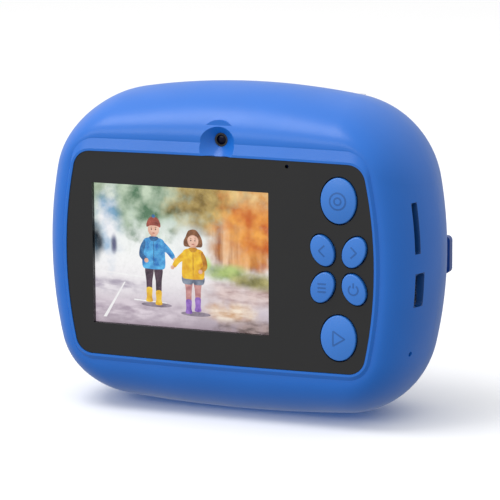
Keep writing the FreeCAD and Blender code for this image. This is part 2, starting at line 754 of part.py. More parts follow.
def make_camera_bracket():
    """A bridge across the frame, with a tongue that hangs down behind the lens."""
    bridge = block(-CHEEK_OUT, CHEEK_OUT, FRAME_FRONT_Y, BRACKET_FRONT_Y, 12, 20)
    tongue = block(-6, 6, FRAME_FRONT_Y, BRACKET_FRONT_Y, -5, 12)
    bracket = fuse(bridge, tongue)
    holes = [rod_y(x, z, BRACKET_SCREW_RADIUS + THREAD_PLAY, 30, 40) for x, z in BRACKET_SCREWS]
    return bracket.cut(holes)


def make_bracket_screws():
    screws = []
    for x, z in BRACKET_SCREWS:
        shank = rod_y(x, z, BRACKET_SCREW_RADIUS, 30.9, BRACKET_FRONT_Y)
        head = rod_y(x, z, 2 * BRACKET_SCREW_RADIUS, BRACKET_FRONT_Y, BRACKET_FRONT_Y + 0.8)
        screws.append(shank.fuse(head))
    return Part.makeCompound(screws)


def make_front_camera():
    body = block(-4.25, 4.25, BRACKET_FRONT_Y, 38.5, -4.25, 4.25)
    barrel = rod_y(0, 0, 3.4, 38.5, 41.6)
    return fuse(body, barrel).cut(rod_y(0, 0, 2.4, 41.0, 43))


# ---------------------------------------------------------------- printer

def make_inner_frame():
    """Two cheeks, the roll's cradle and cross strips, screwed to posts in the rear shell."""
    profile = [
        (FRAME_BACK_Y, -24), (13, -34), (31, -34), (FRAME_FRONT_Y, -27), (FRAME_FRONT_Y, 31),
        (31.2, 34), (14, 34), (FRAME_BACK_Y, 31),
    ]
    outline = [Vector(CHEEK_IN, y, z) for y, z in profile]
    outline.append(outline[0])
    cheek = Part.Face(Part.makePolygon(outline)).extrude(Vector(CHEEK_OUT - CHEEK_IN, 0, 0))
    reach = rod_x(ROLL_Y, ROLL_Z, ROLL_RADIUS + 1.7, -CHEEK_OUT, CHEEK_OUT)
    cradle = reach.cut(rod_x(ROLL_Y, ROLL_Z, ROLL_RADIUS + 0.5, -FAR, FAR))
    cradle = cradle.cut(block(-FAR, FAR, ROLL_Y, FAR, ROLL_Z - 8, FAR))
    cradle = cradle.cut(block(-FAR, FAR, 0, FAR, ROLL_Z + 9, FAR))
    upper = block(-CHEEK_OUT, CHEEK_OUT, FRAME_BACK_Y, FRAME_BACK_Y + FRAME_STRIP, 22, 34)
    lower = block(-CHEEK_OUT, CHEEK_OUT, FRAME_BACK_Y, FRAME_BACK_Y + FRAME_STRIP, -34, -24)
    frame = fuse(cheek, cheek.mirror(Vector(0, 0, 0), Vector(1, 0, 0)), cradle, upper, lower)
    bearing = PLATEN_SHAFT_RADIUS + SHAFT_CLEARANCE
    holes = [rod_x(PLATEN_Y, PLATEN_Z, bearing, -FAR, FAR)]
    holes.append(rod_x(MOTOR_Y, MOTOR_Z, 2.0, 0, FAR))
    holes.append(rod_x(IDLER_Y, IDLER_Z, IDLER_PIN_RADIUS, 0, FAR))
    for x, z in BRACKET_SCREWS:
        holes.append(rod_y(x, z, BRACKET_SCREW_RADIUS + THREAD_PLAY, 30.5, 36))
    for x, z in POSTS:
        holes.append(rod_y(x, z, FRAME_SCREW_RADIUS + 0.2, 5, 20))
    return frame.cut(holes)


def make_frame_screws():
    screws = []
    front = FRAME_BACK_Y + FRAME_STRIP
    for x, z in POSTS:
        shank = rod_y(x, z, FRAME_SCREW_RADIUS, FRAME_BACK_Y - 5, front)
        screws.append(shank.fuse(rod_y(x, z, 1.7, front, front + 1.1)))
    return Part.makeCompound(screws)


def gear_centres():
    """The idler's centre, from the motor's and the platen's centres and the two meshes."""
    from_motor = GEAR_MODULE * (PINION_TEETH + IDLER_TEETH) / 2
    from_platen = GEAR_MODULE * (PLATEN_TEETH + IDLER_TEETH) / 2
    dy = PLATEN_Y - MOTOR_Y
    dz = PLATEN_Z - MOTOR_Z
    distance = math.hypot(dy, dz)
    along = (distance ** 2 + from_motor ** 2 - from_platen ** 2) / (2 * distance)
    across = math.sqrt(from_motor ** 2 - along ** 2)
    y = MOTOR_Y + (along * dy + across * dz) / distance
    z = MOTOR_Z + (along * dz - across * dy) / distance
    return y, z


IDLER_Y, IDLER_Z = gear_centres()


def involute_gear(teeth, y, z, phase, bore):
    """A spur gear along X with one tooth pointing at the angle phase, from Y towards Z."""
    pitch_r = GEAR_MODULE * teeth / 2
    base_r = pitch_r * math.cos(math.radians(20))
    tip_r = pitch_r + GEAR_MODULE * 0.95
    root_r = pitch_r - GEAR_MODULE * 1.25
    start_r = max(base_r, root_r)

    def roll_angle(radius):
        reach = math.sqrt(max((radius / base_r) ** 2 - 1, 0))
        return reach - math.atan(reach)

    half_tooth = math.pi / (2 * teeth) - BACKLASH / (2 * pitch_r)

    def polar(radius, angle):
        return Vector(GEAR_X, y + radius * math.cos(angle), z + radius * math.sin(angle))

    edges = []
    pitch = 2 * math.pi / teeth
    for tooth in range(teeth):
        middle = phase + tooth * pitch
        radii = [start_r + (tip_r - start_r) * k / 3 for k in range(4)]
        spread = [half_tooth + roll_angle(pitch_r) - roll_angle(r) for r in radii]
        rising = [polar(root_r, middle - spread[0])]
        rising += [polar(r, middle - s) for r, s in zip(radii, spread)]
        falling = [polar(r, middle + s) for r, s in zip(reversed(radii), reversed(spread))]
        falling.append(polar(root_r, middle + spread[0]))
        next_root = polar(root_r, middle + pitch - spread[0])
        for side in (rising, falling):
            edges += [Part.makeLine(a, b) for a, b in zip(side, side[1:])]
            if side is rising:
                edges.append(Part.Arc(rising[-1], polar(tip_r, middle), falling[0]).toShape())
        valley = polar(root_r, middle + pitch / 2)
        edges.append(Part.Arc(falling[-1], valley, next_root).toShape())
    face = Part.Face(Part.Wire(edges))
    gear = face.extrude(Vector(GEAR_WIDTH, 0, 0))
    return gear.cut(rod_x(y, z, bore, 0, FAR))


def make_gears():
    """The pinion, the idler and the platen gear, turned so that their teeth mesh."""
    to_idler = math.atan2(IDLER_Z - MOTOR_Z, IDLER_Y - MOTOR_Y)
    pinion = involute_gear(PINION_TEETH, MOTOR_Y, MOTOR_Z, to_idler, MOTOR_SHAFT_RADIUS)
    idler_pitch = 2 * math.pi / IDLER_TEETH
    idler_phase = to_idler + math.pi + idler_pitch / 2
    idler = involute_gear(
        IDLER_TEETH, IDLER_Y, IDLER_Z, idler_phase, IDLER_PIN_RADIUS + SHAFT_CLEARANCE,
    )
    to_platen = math.atan2(PLATEN_Z - IDLER_Z, PLATEN_Y - IDLER_Y)
    lead = (to_platen - idler_phase) % idler_pitch
    platen_phase = to_platen + math.pi + lead * IDLER_TEETH / PLATEN_TEETH + math.pi / PLATEN_TEETH
    platen = involute_gear(PLATEN_TEETH, PLATEN_Y, PLATEN_Z, platen_phase, PLATEN_SHAFT_RADIUS)
    return {"motor_pinion": pinion, "idler_gear": idler, "platen_gear": platen}


def make_stepper_motor():
    body = rod_x(MOTOR_Y, MOTOR_Z, MOTOR_RADIUS, CHEEK_IN - MOTOR_LENGTH, CHEEK_IN)
    return body.cut(rod_x(MOTOR_Y, MOTOR_Z, MOTOR_SHAFT_RADIUS + SHAFT_CLEARANCE, CHEEK_IN - 5, FAR))


def make_motor_shaft():
    return rod_x(MOTOR_Y, MOTOR_Z, MOTOR_SHAFT_RADIUS, CHEEK_IN - 4.5, GEAR_X + GEAR_WIDTH + 0.3)


def make_idler_pin():
    pin = rod_x(IDLER_Y, IDLER_Z, IDLER_PIN_RADIUS, CHEEK_IN, GEAR_X + GEAR_WIDTH + 0.3)
    head_x = GEAR_X + GEAR_WIDTH + 0.3
    return pin.fuse(rod_x(IDLER_Y, IDLER_Z, 1.8, head_x, head_x + 0.6))


def make_platen():
    """The rubber roller and the steel shaft that carries it."""
    shaft = rod_x(PLATEN_Y, PLATEN_Z, PLATEN_SHAFT_RADIUS, -CHEEK_OUT - 1, GEAR_X + GEAR_WIDTH + 0.4)
    rubber = rod_x(PLATEN_Y, PLATEN_Z, PLATEN_RADIUS, -PLATEN_HALF_LENGTH, PLATEN_HALF_LENGTH)
    rubber = rubber.cut(rod_x(PLATEN_Y, PLATEN_Z, PLATEN_SHAFT_RADIUS, -FAR, FAR))
    return shaft, rubber


def make_print_head():
    nip_y = PLATEN_Y + PLATEN_RADIUS + 0.15
    plate = block(-CHEEK_IN + 0.5, CHEEK_IN - 0.5, nip_y, nip_y + 2.0, 23.5, 32.0)
    fins = [block(x - 1, x + 1, nip_y + 2.0, nip_y + 2.6, 24, 31.5) for x in range(-24, 25, 6)]
    return plate.fuse(fins)


def make_tear_bar():
    """A toothed steel strip behind the paper slot's front edge."""
    thick = 0.4
    pitch = 2.0
    count = 28
    tooth_foot = 36.4
    y0 = SLOT_Y + SLOT_GAP / 2 - 0.45
    half = count * pitch / 2
    bar = block(-half - 0.6, half + 0.6, y0, y0 + thick, tooth_foot - 1.8, tooth_foot)
    teeth = []
    for step in range(count):
        x = -half + pitch * step
        tip = [
            Vector(x, y0, tooth_foot), Vector(x + pitch, y0, tooth_foot),
            Vector(x + pitch / 2, y0, tooth_foot + 0.8),
        ]
        teeth.append(Part.Face(Part.makePolygon(tip + tip[:1])).extrude(Vector(0, thick, 0)))
    return fuse(bar, *teeth)


def make_roll():
    full = rod_x(ROLL_Y, ROLL_Z, ROLL_RADIUS, -ROLL_HALF_LENGTH, ROLL_HALF_LENGTH)
    core = rod_x(ROLL_Y, ROLL_Z, CORE_RADIUS, -ROLL_HALF_LENGTH, ROLL_HALF_LENGTH)
    bore = rod_x(ROLL_Y, ROLL_Z, CORE_BORE, -FAR, FAR)
    return full.cut(core), core.cut(bore)


# ---------------------------------------------------------------- door

def make_paper_door():
    """The door with its middle hinge knuckle, lens hole and a seat for the tab."""
    inside = FRONT_Y - DOOR_THICK
    plate = DOOR_OUTLINE.slab(inside, FRONT_Y)
    barrel = rod_z(HINGE_X, HINGE_Y, KNUCKLE_RADIUS, -DOOR_KNUCKLE_HALF, DOOR_KNUCKLE_HALF)
    door = fuse(plate, barrel)
    cuts = [
        rod_z(HINGE_X, HINGE_Y, HINGE_PIN_RADIUS + SHAFT_CLEARANCE, -FAR, FAR),
        rod_y(0, 0, DOOR_HOLE_RADIUS, 30, FAR),
        block(TAB_IN_X, FAR, TAB_Y, FAR, TAB_Z - TAB_HALF_HEIGHT, TAB_Z + TAB_HALF_HEIGHT),
    ]
    notch = LUG_END + HINGE_PLAY - DOOR_KNUCKLE_HALF
    for z0 in (DOOR_KNUCKLE_HALF, -LUG_END - HINGE_PLAY):
        cuts.append(block(-FAR, HINGE_X + 2.2, 30, FAR, z0, z0 + notch))
    return door.cut(cuts)


def make_hinge_pin():
    return rod_z(HINGE_X, HINGE_Y, HINGE_PIN_RADIUS, -LUG_END, LUG_END)


def make_door_tab():
    z0 = TAB_Z - TAB_HALF_HEIGHT
    z1 = TAB_Z + TAB_HALF_HEIGHT
    tab = rounded_block(TAB_IN_X, TAB_OUT_X, TAB_Y, TAB_Y + TAB_THICK, z0, z1, 1.3, Vector(0, 1, 0))
    front = [e for e in tab.Edges if e.BoundBox.YMin > TAB_Y + TAB_THICK - 0.01]
    tab = tab.makeFillet(0.7, front)
    grips = [
        block(x, x + 0.8, TAB_Y + TAB_THICK - 0.35, FAR, z0 + 2, z1 - 2) for x in (40.5, 42.5, 44.5)
    ]
    return tab.cut(grips)


def make_lens_ring():
    ring = rod_y(0, 0, LENS_RING_RADIUS, FRONT_Y, FRONT_Y + LENS_RING_HEIGHT)
    ring = ring.cut(rod_y(0, 0, LENS_RING_BORE, 0, FAR))
    rims = [e for e in ring.Edges if e.BoundBox.YMin > FRONT_Y + LENS_RING_HEIGHT - 0.01]
    return ring.makeFillet(LENS_RING_EDGE, rims)


def make_lens_window():
    return rod_y(0, 0, LENS_RING_BORE - DISC_FIT, LENS_WINDOW_Y, LENS_WINDOW_Y + LENS_WINDOW_THICK)


def make_lens_baffle():
    """A stepped black disc between the window and the hole in the door."""
    disc = rod_y(0, 0, LENS_RING_BORE - DISC_FIT, FRONT_Y, LENS_WINDOW_Y)
    return disc.cut([rod_y(0, 0, 4.2, 0, FAR), rod_y(0, 0, 8.5, FRONT_Y + 0.35, FAR)])


# ---------------------------------------------------------------- all pieces

def main():
    os.makedirs("parts", exist_ok=True)
    shaft, rubber = make_platen()
    paper, core = make_roll()
    pieces = {
        "rear_shell": make_rear_shell(),
        "front_shell": make_front_shell(),
        "face_plate": make_face_plate(),
        "screen_window": make_screen_window(),
        "casing_screws": make_casing_screws(),
        "lcd_display": make_lcd_display(),
        "display_flex": make_display_flex(),
        "tact_switches": make_tact_switches(),
        "key_board": make_key_board(),
        "main_board": make_main_board(),
        "board_screws": make_board_screws(),
        "board_components": make_board_components(),
        "card_reader": make_card_reader(),
        "memory_card": make_memory_card(),
        "usb_socket": make_usb_socket(),
        "reset_switch": make_reset_switch(),
        "rear_camera_module": make_rear_camera(),
        "rear_lens": make_rear_lens(),
        "microphone": make_microphone(),
        "speaker": make_speaker(),
        "battery": make_battery(),
        "camera_bracket": make_camera_bracket(),
        "bracket_screws": make_bracket_screws(),
        "front_camera_module": make_front_camera(),
        "inner_frame": make_inner_frame(),
        "frame_screws": make_frame_screws(),
        "stepper_motor": make_stepper_motor(),
        "motor_shaft": make_motor_shaft(),
        "idler_pin": make_idler_pin(),
        "platen_shaft": shaft,
        "platen_roller": rubber,
        "print_head": make_print_head(),
        "tear_bar": make_tear_bar(),
        "paper_roll": paper,
        "roll_core": core,
        "paper_door": make_paper_door(),
        "hinge_pin": make_hinge_pin(),
        "door_tab": make_door_tab(),
        "lens_ring": make_lens_ring(),
        "front_lens_window": make_lens_window(),
        "lens_baffle": make_lens_baffle(),
    }
    pieces.update(make_gears())
    for name, (x, z, half_width, half_height, lean) in BUTTONS.items():
        pieces[name] = make_button(x, z, half_width, half_height, lean)
        pieces[name.replace("button", "plunger")] = make_plunger(x, z)
    for name, shape in pieces.items():
        save(name, shape)


main()
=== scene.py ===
import bpy
import bmesh
import json
import math
from mathutils import Matrix, Vector


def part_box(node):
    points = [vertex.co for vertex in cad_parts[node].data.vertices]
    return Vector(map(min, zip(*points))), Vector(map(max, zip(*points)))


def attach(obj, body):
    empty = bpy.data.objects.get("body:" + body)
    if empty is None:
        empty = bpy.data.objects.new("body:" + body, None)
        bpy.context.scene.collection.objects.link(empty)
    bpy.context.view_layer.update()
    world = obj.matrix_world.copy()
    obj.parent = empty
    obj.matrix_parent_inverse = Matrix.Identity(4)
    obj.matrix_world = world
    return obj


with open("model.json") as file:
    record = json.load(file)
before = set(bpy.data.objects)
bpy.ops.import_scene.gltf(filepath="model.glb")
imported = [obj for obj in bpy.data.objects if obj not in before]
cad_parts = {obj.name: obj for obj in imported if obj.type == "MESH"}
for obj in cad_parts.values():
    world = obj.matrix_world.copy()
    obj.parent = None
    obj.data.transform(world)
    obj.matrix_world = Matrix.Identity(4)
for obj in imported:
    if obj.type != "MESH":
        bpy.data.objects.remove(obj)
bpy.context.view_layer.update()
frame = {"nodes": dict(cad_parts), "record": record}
NODES = frame["nodes"]
SUBPARTS = frame["record"]["subparts"]
MM = 0.001

# ---------------------------------------------------------------- places read from the frame


def middle(node):
    low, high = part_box(node)
    return (low + high) / 2


PLATE_LOW, PLATE_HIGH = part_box("face_plate")
PLATE_CENTRE = Vector(((PLATE_LOW.x + PLATE_HIGH.x) / 2, PLATE_LOW.y, (PLATE_LOW.z + PLATE_HIGH.z) / 2))
WINDOW_LOW, WINDOW_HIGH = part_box("screen_window")
ROLL_MIDDLE = middle("paper_roll")
KEYS = ["shutter", "playback", "left", "right", "menu", "power"]


# ---------------------------------------------------------------- paints
# Noise scales are features in a metre, and the grain's depth is in millimetres.

PATTERN_LOW = 0.3
PATTERN_HIGH = 0.7
DRIFT = 0.04
DRIFT_SCALE = 45
HANDLED_SCALE = 70
GRAIN_SCALE = 2600
GRAIN_DEPTH = 0.012
# How dark the painted shade on the walls of the side openings is, as a share of the blue.
OPENING_PAINTED_SHADE = 0.36
CLEAN_ALPHA = 0.04
DUSTY_ALPHA = 0.09
STRIPS_IN_A_METRE = 2000
WINDING_PITCH = 0.35 * MM


def srgb(red, green, blue):
    """A colour given as a screen shows it, 0 to 255, in linear light."""
    def linear(value):
        share = value / 255
        return share / 12.92 if share <= 0.04045 else ((share + 0.055) / 1.055) ** 2.4

    return linear(red), linear(green), linear(blue), 1.0


def scaled(color, factor):
    return tuple(min(1.0, part * factor) for part in color[:3]) + (1.0,)


class Paint:
    """A material's node tree, with short calls for the nodes that are used most."""

    def __init__(self, name, **settings):
        self.material = bpy.data.materials.new(name)
        self.material.use_nodes = True
        self.tree = self.material.node_tree
        self.shader = self.tree.nodes["Principled BSDF"]
        self.place = self.tree.nodes.new("ShaderNodeTexCoord").outputs["Object"]
        for socket, value in settings.items():
            self.shader.inputs[socket.replace("_", " ")].default_value = value

    def link(self, value, socket):
        if isinstance(value, bpy.types.NodeSocket):
            self.tree.links.new(value, socket)
        else:
            socket.default_value = value

    def into(self, socket, value):
        self.link(value, self.shader.inputs[socket])

    def math(self, operation, first, second=0.0):
        node = self.tree.nodes.new("ShaderNodeMath")
        node.operation = operation
        self.link(first, node.inputs[0])
        self.link(second, node.inputs[1])
        return node.outputs[0]

    def vector(self, operation, first, second=(0, 0, 0)):
        node = self.tree.nodes.new("ShaderNodeVectorMath")
        node.operation = operation
        self.link(first, node.inputs[0])
        self.link(second, node.inputs[1])
        return node.outputs["Value" if operation == "LENGTH" else "Vector"]

    def split(self, vector):
        node = self.tree.nodes.new("ShaderNodeSeparateXYZ")
        self.link(vector, node.inputs[0])
        return node.outputs

    def noise(self, scale, detail=2.0, stretch=(1, 1, 1), place=None):
        """Noise with scale features in a unit of place, squeezed along the axes by stretch."""
        node = self.tree.nodes.new("ShaderNodeTexNoise")
        node.inputs["Scale"].default_value = scale
        node.inputs["Detail"].default_value = detail
        self.link(self.vector("MULTIPLY", place or self.place, stretch), node.inputs["Vector"])
        return node.outputs["Fac"]

    def cells(self, scale):
        """Distance from the nearest of scattered points."""
        node = self.tree.nodes.new("ShaderNodeTexVoronoi")
        node.inputs["Scale"].default_value = scale
        self.link(self.place, node.inputs["Vector"])
        return node.outputs["Distance"]

    def spread(self, value, low, high, to_low=0.0, to_high=1.0, smooth=False):
        """A value mapped from one range to another, and held inside it."""
        node = self.tree.nodes.new("ShaderNodeMapRange")
        node.interpolation_type = "SMOOTHSTEP" if smooth else "LINEAR"
        for socket, given in zip(node.inputs, (value, low, high, to_low, to_high)):
            self.link(given, socket)
        return node.outputs[0]

    def ramp(self, value, stops):
        node = self.tree.nodes.new("ShaderNodeValToRGB")
        elements = node.color_ramp.elements
        while len(elements) < len(stops):
            elements.new(0.5)
        for element, (position, color) in zip(elements, stops):
            element.position = position
            element.color = color
        self.link(value, node.inputs[0])
        return node.outputs["Color"]

    def mix(self, share, first, second):
        node = self.tree.nodes.new("ShaderNodeMix")
        node.data_type = "RGBA"
        self.link(share, node.inputs["Factor"])
        self.link(first, node.inputs[6])
        self.link(second, node.inputs[7])
        return node.outputs[2]

    def gloss(self, pattern, low, high):
        """Roughness that follows a pattern."""
        self.into("Roughness", self.spread(pattern, PATTERN_LOW, PATTERN_HIGH, low, high))

    def bump(self, height, depth):
        """Relief of a real depth in metres."""
        node = self.tree.nodes.new("ShaderNodeBump")
        node.inputs["Strength"].default_value = 1.0
        node.inputs["Distance"].default_value = depth
        self.link(height, node.inputs["Height"])
        self.into("Normal", node.outputs["Normal"])


def mottled(paint, color, amount, scale):
    """Base colour that drifts a little across the surface."""
    drift = paint.noise(scale, 3.0)
    return paint.ramp(drift, [
        (PATTERN_LOW, scaled(color, 1 - amount)), (PATTERN_HIGH, scaled(color, 1 + amount)),
    ])


def moulded(name, color, roughness, grain=GRAIN_DEPTH, **settings):
    """Moulded plastic: a fine eroded grain, and gloss that varies a little where it is handled."""
    paint = Paint(name, **settings)
    paint.into("Base Color", mottled(paint, color, DRIFT, DRIFT_SCALE))
    paint.gloss(paint.noise(HANDLED_SCALE, 4.0), roughness - 0.05, roughness + 0.05)
    paint.bump(paint.noise(GRAIN_SCALE), grain * MM)
    return paint.material


def casing_plastic():
    """Satin blue plastic, with painted shade on the walls of the side openings, where little light reaches.
    """
    paint = Paint("shell_blue", Coat_Weight=0.1, Coat_Roughness=0.25, Specular_IOR_Level=0.45)
    paint.gloss(paint.noise(HANDLED_SCALE, 4.0), 0.34, 0.42)
    paint.bump(paint.noise(GRAIN_SCALE), GRAIN_DEPTH * MM)
    color = mottled(paint, SHELL_BLUE, DRIFT, DRIFT_SCALE)
    for node, half_gap, half_length in SIDE_OPENINGS:
        centre = middle(node)
        offset = paint.vector("ABSOLUTE", paint.vector("SUBTRACT", paint.place, tuple(centre)))
        away = paint.split(offset)
        inside = paint.math("MULTIPLY", paint.math("LESS_THAN", away["Y"], half_gap),
                            paint.math("LESS_THAN", away["Z"], half_length))
        outwards = paint.math("GREATER_THAN", paint.split(paint.place)["X"], 0.0)
        inside = paint.math("MULTIPLY", inside, outwards)
        # Painted shade: the blue is darkened on the opening's walls, where little light reaches.
        color = paint.mix(inside, color, scaled(SHELL_BLUE, OPENING_PAINTED_SHADE))
    paint.into("Base Color", color)
    return paint.material


def clear_acrylic():
    """Almost clear, with a trace of dust."""
    paint = Paint("clear_window", Roughness=0.04, IOR=1.49)
    dust = paint.noise(900, 4.0)
    paint.into("Base Color", paint.ramp(dust, [(0.4, srgb(20, 22, 26)), (0.8, srgb(60, 62, 66))]))
    paint.into("Alpha", paint.spread(dust, 0.4, 0.9, CLEAN_ALPHA, DUSTY_ALPHA))
    return paint.material


def back_printed_plate():
    """Black ink behind satin acrylic: almost even, with a trace of dust and fine wiping marks."""
    paint = Paint("plate_black", IOR=1.45)
    paint.into("Base Color", mottled(paint, srgb(21, 21, 22), 0.05, 60))
    wiped = paint.noise(220, 5.0, (1, 1, 6))
    paint.gloss(wiped, 0.34, 0.42)
    paint.bump(paint.noise(3200), 0.003 * MM)
    return paint.material


def coated_lens():
    paint = Paint("lens_glass", Roughness=0.05, IOR=1.4, Specular_IOR_Level=0.2)
    glow = paint.noise(260, 1.0)
    paint.into("Base Color", paint.ramp(glow, [(0.35, srgb(2, 10, 30)), (0.7, srgb(10, 12, 48))]))
    return paint.material


def display_edge():
    paint = Paint("display", Roughness=0.3)
    paint.into("Base Color", mottled(paint, srgb(24, 24, 26), 0.15, 300))
    return paint.material


def circuit_board():
    """Solder mask with copper tracks below it and rows of tinned pads."""
    paint = Paint("circuit_board", Roughness=0.35)
    wires = paint.tree.nodes.new("ShaderNodeTexBrick")
    wires.inputs["Scale"].default_value = 420
    wires.inputs["Mortar Size"].default_value = 0.06
    parts = paint.split(paint.place)
    flat = paint.tree.nodes.new("ShaderNodeCombineXYZ")
    paint.link(parts["X"], flat.inputs[0])
    paint.link(parts["Z"], flat.inputs[1])
    paint.link(flat.outputs[0], wires.inputs["Vector"])
    routed = paint.math("MULTIPLY", wires.outputs["Fac"], paint.spread(paint.noise(160), 0.48, 0.52))
    mask = paint.mix(routed, mottled(paint, srgb(14, 92, 52), 0.08, 120), srgb(32, 128, 78))
    pads = paint.spread(paint.cells(520), 0.16, 0.2, 1.0, 0.0)
    grouped = paint.math("MULTIPLY", pads, paint.spread(paint.noise(90), 0.55, 0.6))
    paint.into("Base Color", paint.mix(grouped, mask, srgb(205, 200, 180)))
    paint.into("Metallic", grouped)
    paint.bump(routed, 0.02 * MM)
    return paint.material


def polyimide():
    """Amber film over parallel copper strips."""
    paint = Paint("flex_film", Roughness=0.3, Coat_Weight=0.3)
    parts = paint.split(paint.place)
    wave = paint.math("SINE", paint.math("MULTIPLY", parts["Z"], 2 * math.pi * STRIPS_IN_A_METRE))
    strips = paint.spread(wave, -0.2, 0.2)
    paint.into("Base Color", paint.mix(strips, srgb(176, 98, 30), srgb(214, 142, 66)))
    paint.bump(strips, 0.03 * MM)
    return paint.material


def pouch_foil():
    paint = Paint("battery_foil", Metallic=0.85)
    creases = paint.noise(160, 4.0, (1, 1, 0.4))
    paint.into("Base Color", paint.ramp(creases, [(0.3, srgb(176, 178, 180)), (0.7, srgb(214, 215, 214))]))
    paint.gloss(creases, 0.28, 0.45)
    paint.bump(creases, 0.15 * MM)
    return paint.material


def metal(name, color, stretch, roughness, relief):
    """Drawn or rolled metal: fine lines along one axis, with a relief in millimetres."""
    paint = Paint(name, Metallic=1.0)
    lines = paint.noise(900, 3.0, stretch)
    paint.into("Base Color", paint.ramp(lines, [(0.3, scaled(color, 0.86)), (0.7, scaled(color, 1.08))]))
    paint.gloss(lines, roughness - 0.07, roughness + 0.07)
    paint.bump(lines, relief * MM)
    return paint.material


def ground_rubber():
    paint = Paint("roller_rubber", Specular_IOR_Level=0.3)
    grind = paint.noise(1500, 4.0, (0.4, 3, 3))
    paint.into("Base Color", paint.ramp(grind, [(0.3, srgb(32, 32, 33)), (0.75, srgb(58, 57, 56))]))
    paint.gloss(grind, 0.65, 0.8)
    paint.bump(grind, 0.02 * MM)
    return paint.material


def wound_paper():
    """Coated paper. Its windings show as fine rings on the ends."""
    paint = Paint("thermal_paper", Specular_IOR_Level=0.35)
    parts = paint.split(paint.vector("SUBTRACT", paint.place, tuple(ROLL_MIDDLE)))
    away = paint.math("SQRT", paint.math(
        "ADD", paint.math("POWER", parts["Y"], 2.0), paint.math("POWER", parts["Z"], 2.0),
    ))
    rings = paint.math("SINE", paint.math("MULTIPLY", away, 2 * math.pi / WINDING_PITCH))
    fibres = paint.noise(1800, 4.0, (1, 0.3, 0.3))
    tone = paint.math("ADD", paint.math("MULTIPLY", rings, 0.12), fibres)
    paint.into("Base Color", paint.ramp(tone, [(0.3, srgb(222, 221, 214)), (0.75, srgb(248, 248, 244))]))
    paint.gloss(fibres, 0.45, 0.6)
    paint.bump(tone, 0.02 * MM)
    return paint.material


def kraft_card():
    paint = Paint("core_card", Roughness=0.85, Specular_IOR_Level=0.2)
    fibres = paint.noise(1400, 5.0, (0.4, 1, 1))
    paint.into("Base Color", paint.ramp(fibres, [(0.3, srgb(150, 116, 80)), (0.7, srgb(196, 162, 122))]))
    paint.bump(fibres, 0.05 * MM)
    return paint.material


SHELL_BLUE = srgb(14, 102, 196)
KEY_BLUE = srgb(42, 115, 202)
TAB_BLUE = srgb(30, 72, 148)
# The piece behind each opening, half the opening's gap and half its length; the walls in this box get
# painted shade.
SIDE_OPENINGS = [("memory_card", 1.12 * MM, 6.5 * MM), ("usb_socket", 1.88 * MM, 4.32 * MM)]

MATERIALS = {
    "shell_blue": casing_plastic(),
    "key_blue": moulded("key_blue", KEY_BLUE, 0.34, 0.006, Coat_Weight=0.2, Coat_Roughness=0.18),
    "tab_blue": moulded("tab_blue", TAB_BLUE, 0.36),
    "plate_black": back_printed_plate(),
    "clear_window": clear_acrylic(),
    "display": display_edge(),
    "lens_glass": coated_lens(),
    "black_plastic": moulded("black_plastic", srgb(28, 28, 30), 0.45),
    "white_plastic": moulded("white_plastic", srgb(214, 214, 208), 0.4),
    "circuit_board": circuit_board(),
    "flex_film": polyimide(),
    "battery_foil": pouch_foil(),
    "steel": metal("steel", srgb(196, 197, 200), (0.3, 2, 2), 0.3, 0.006),
    "aluminium": metal("aluminium", srgb(212, 213, 215), (0.1, 2, 2), 0.38, 0.01),
    "brass": metal("brass", srgb(214, 178, 104), (0.2, 3, 3), 0.28, 0.006),
    "roller_rubber": ground_rubber(),
    "thermal_paper": wound_paper(),
    "core_card": kraft_card(),
}


def paint_cad_nodes():
    for part in SUBPARTS:
        mesh = NODES[part["node"]].data
        mesh.materials.clear()
        mesh.materials.append(MATERIALS[part["material_slot"]])


paint_cad_nodes()


# ---------------------------------------------------------------- new pieces

OUTLINE_STEPS = 6
OVAL_POINTS = 20


def add_piece(name, mesh, body):
    piece = bpy.data.objects.new(name, mesh)
    bpy.context.scene.collection.objects.link(piece)
    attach(piece, body)


def skin(build, rows):
    """Faces between rows of four corners, closed at both ends."""
    for row, following in zip(rows, rows[1:]):
        for corner in range(4):
            after = (corner + 1) % 4
            build.faces.new((row[corner], row[after], following[after], following[corner]))
    build.faces.new(rows[0])
    build.faces.new(reversed(rows[-1]))


def finished_mesh(build, name):
    """What has been built, as a mesh whose faces all look outwards."""
    bmesh.ops.recalc_face_normals(build, faces=build.faces)
    mesh = bpy.data.meshes.new(name)
    build.to_mesh(mesh)
    build.free()
    return mesh


def smooth_outline(points):
    """A closed curve through the points, as a Catmull-Rom spline."""
    outline = []
    count = len(points)
    for index in range(count):
        before, start, end, after = (points[(index + k - 1) % count] for k in range(4))
        for step in range(OUTLINE_STEPS):
            t = step / OUTLINE_STEPS
            outline.append(tuple(
                0.5 * (2 * b + (c - a) * t + (2 * a - 5 * b + 4 * c - d) * t ** 2
                       + (3 * b - a - 3 * c + d) * t ** 3)
                for a, b, c, d in zip(before, start, end, after)
            ))
    return outline


def oval(u, v, half_width, half_height):
    points = []
    for step in range(OVAL_POINTS):
        angle = 2 * math.pi * step / OVAL_POINTS
        points.append((u + half_width * math.cos(angle), v + half_height * math.sin(angle)))
    return points


# ---------------------------------------------------------------- picture on the display
# Places are shares of the display's height, from its lower left corner.

SCREEN_HEIGHT = WINDOW_HIGH.z - WINDOW_LOW.z
SCREEN_SHARE = (WINDOW_HIGH.x - WINDOW_LOW.x) / SCREEN_HEIGHT
PICTURE_GAP = 0.09 * MM
PICTURE_Y = WINDOW_HIGH.y + PICTURE_GAP
LAYER_STEP = 0.0012 * MM
GLOW = 0.97
UNLIT = (0.01, 0.01, 0.01, 1)
CLOTH_SCALE = 18.0
STEP_LIFT = 0.03


